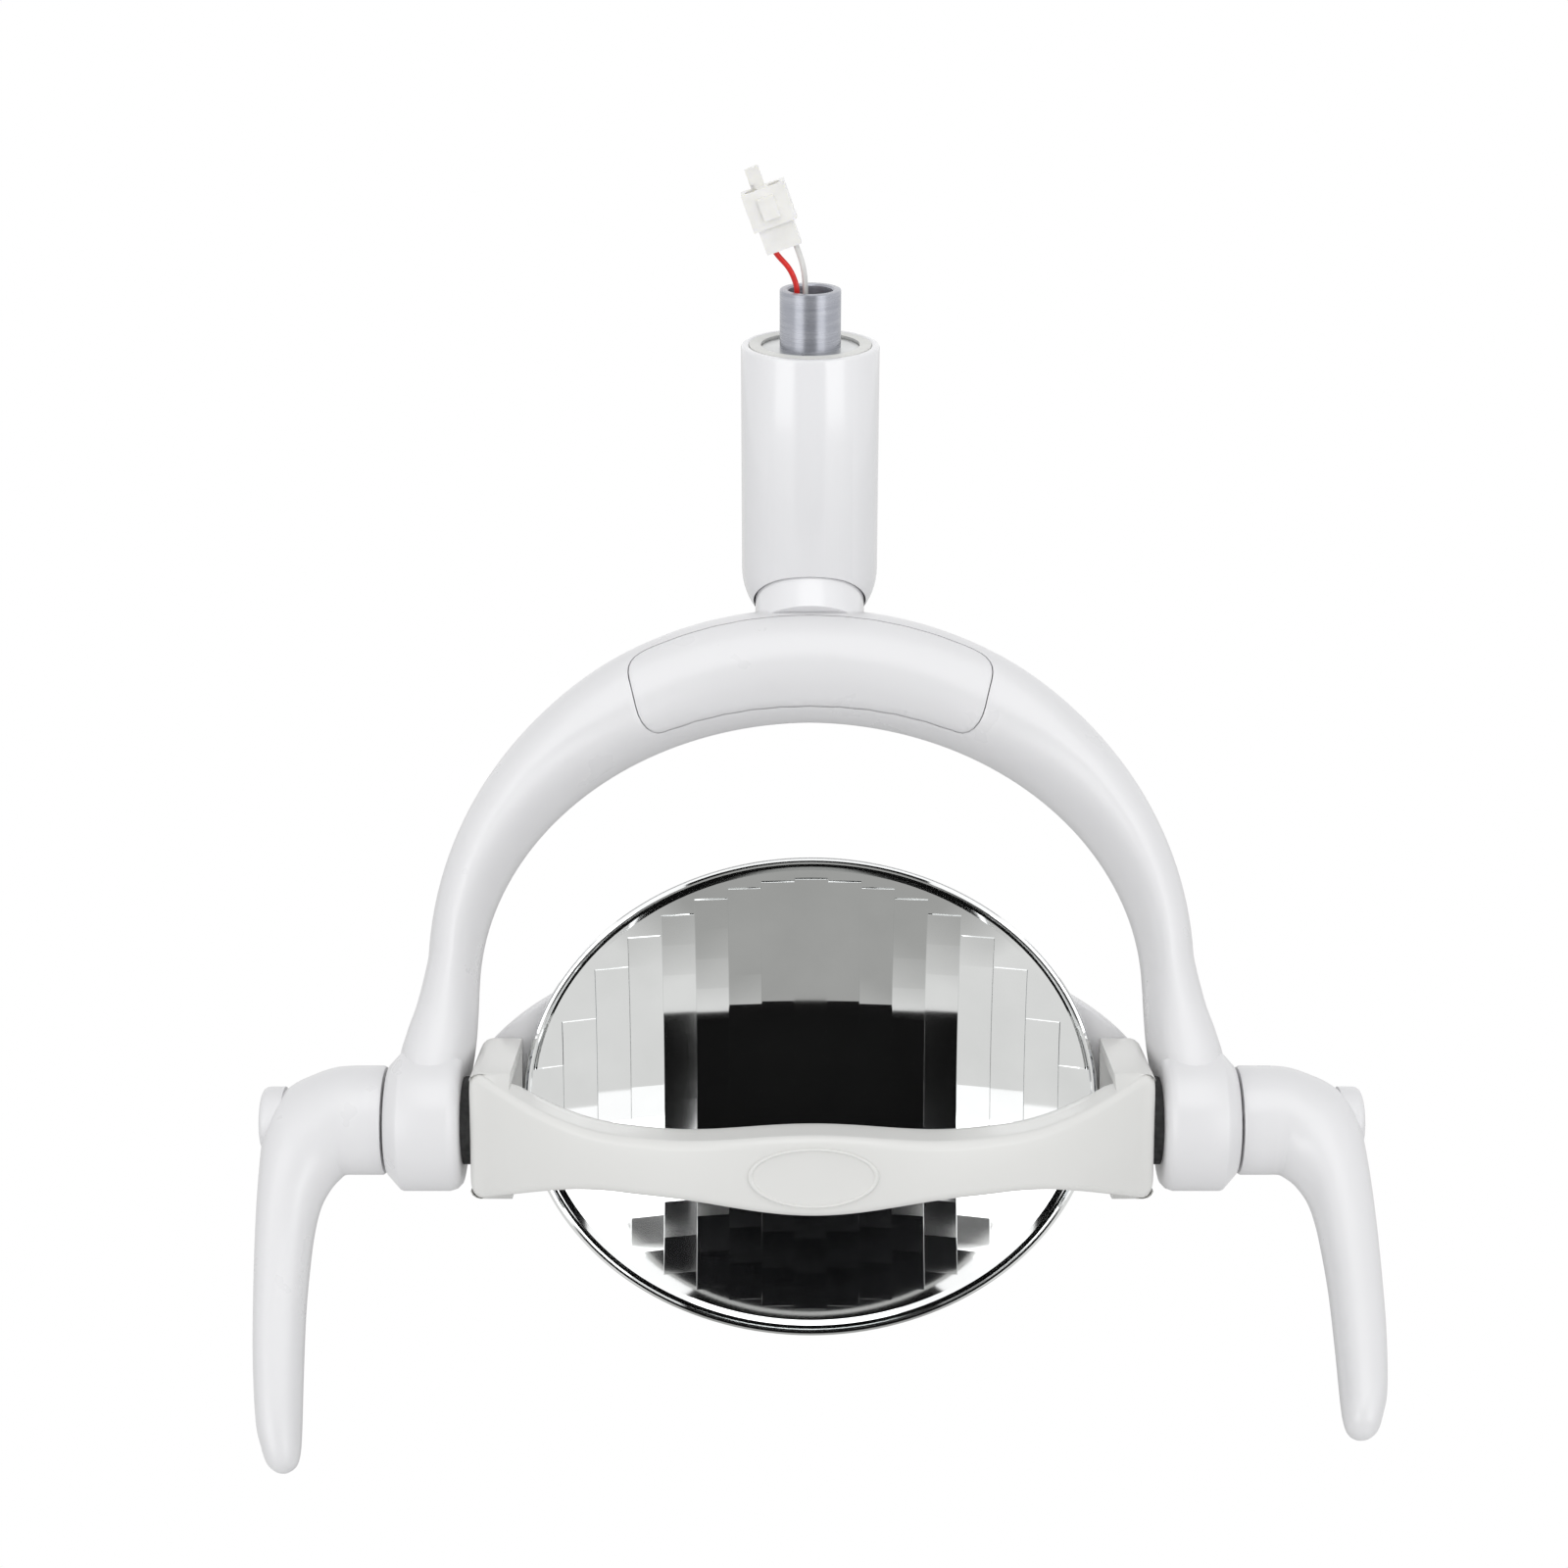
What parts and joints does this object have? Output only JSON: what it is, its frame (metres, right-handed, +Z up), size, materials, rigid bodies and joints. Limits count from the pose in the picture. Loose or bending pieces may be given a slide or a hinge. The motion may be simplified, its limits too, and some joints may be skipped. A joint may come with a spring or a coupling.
{
  "type": "dental operating light",
  "caption": "Shaft-hung dental light: swivel sleeve, inclined neck with U-shaped yoke, and a tilting faceted reflector lit from LEDs in its front bar, with a bent handle on each side.",
  "frame": {"origin": "on the mounting shaft's axis, at the outer face of the cover washer, where the shaft leaves the lamp", "axes": "+Z up along the mounting shaft, -Y to the front, the way the beam points, X along the tilt axis"},
  "size_m": [0.3764, 0.2811, 0.3874],
  "materials": {
    "polished_aluminium": "polished",
    "steel": "machined",
    "black_steel": "blackened",
    "cast_core": "as cast",
    "white_paint": "gloss",
    "white_plastic": "gloss",
    "acetal": "satin",
    "friction_lining": "matt",
    "connector_nylon": "milky",
    "contact_brass": "tinned",
    "red_lead": "satin",
    "white_lead": "satin",
    "mirror_coat": "mirror",
    "circuit_board": "solder mask",
    "led_phosphor": "satin",
    "smoked_window": "smoked"
  },
  "bodies": {
    "shaft": {"mount_shaft": "polished_aluminium", "cover_washer": "polished_aluminium", "stop_collar": "steel", "thrust_washer": "steel", "shaft_circlip": "black_steel", "cable_grommet": "friction_lining", "lead_red": "red_lead", "lead_white": "white_lead", "connector_plug": "connector_nylon", "connector_rear": "connector_nylon", "contact_pins": "contact_brass"},
    "sleeve": {"sleeve_shell": "white_paint", "upper_bush": "acetal", "lower_bush": "acetal", "swivel_core": "cast_core", "neck_bush": "acetal", "brake_pad": "friction_lining", "brake_screw": "black_steel", "stop_pin": "steel"},
    "yoke": {"neck": "white_paint", "neck_washer": "steel", "neck_circlip": "black_steel", "yoke_frame": "white_plastic", "yoke_cover": "white_plastic", "cover_screws": "steel", "neck_screws": "steel", "tilt_bush_left": "acetal", "tilt_bush_right": "acetal", "friction_washer_left": "friction_lining", "friction_washer_right": "friction_lining"},
    "head": {"tilt_axle_left": "steel", "tilt_axle_right": "steel", "side_bracket_left": "steel", "side_bracket_right": "steel", "bracket_screws": "steel", "front_bar": "white_plastic", "badge_plate": "white_plastic", "led_carrier": "polished_aluminium", "led_board": "circuit_board", "leds": "led_phosphor", "led_window": "smoked_window", "reflector": "mirror_coat", "reflector_posts": "acetal", "rear_housing": "white_plastic", "housing_screws": "steel", "driver_board": "circuit_board", "board_posts": "acetal", "handle_left": "white_plastic", "handle_right": "white_plastic", "handle_screw_left": "steel", "handle_screw_right": "steel", "handle_cap_left": "white_plastic", "handle_cap_right": "white_plastic"}
  },
  "joints": [
    {"name": "sleeve_swivel", "type": "hinge", "parent": "shaft", "child": "sleeve", "pos_m": [0, 0, -0.083], "axis": [0, 0, 1], "range_deg": [-160, 160]},
    {"name": "yoke_swivel", "type": "hinge", "parent": "sleeve", "child": "yoke", "pos_m": [0, 0, -0.083], "axis": [0, -0.7071, -0.7071], "range_deg": [-170, 170]},
    {"name": "head_tilt", "type": "hinge", "parent": "yoke", "child": "head", "pos_m": [0, -0.14991, -0.23291], "axis": [1, 0, 0], "range_deg": [-60, 110]}
  ]
}
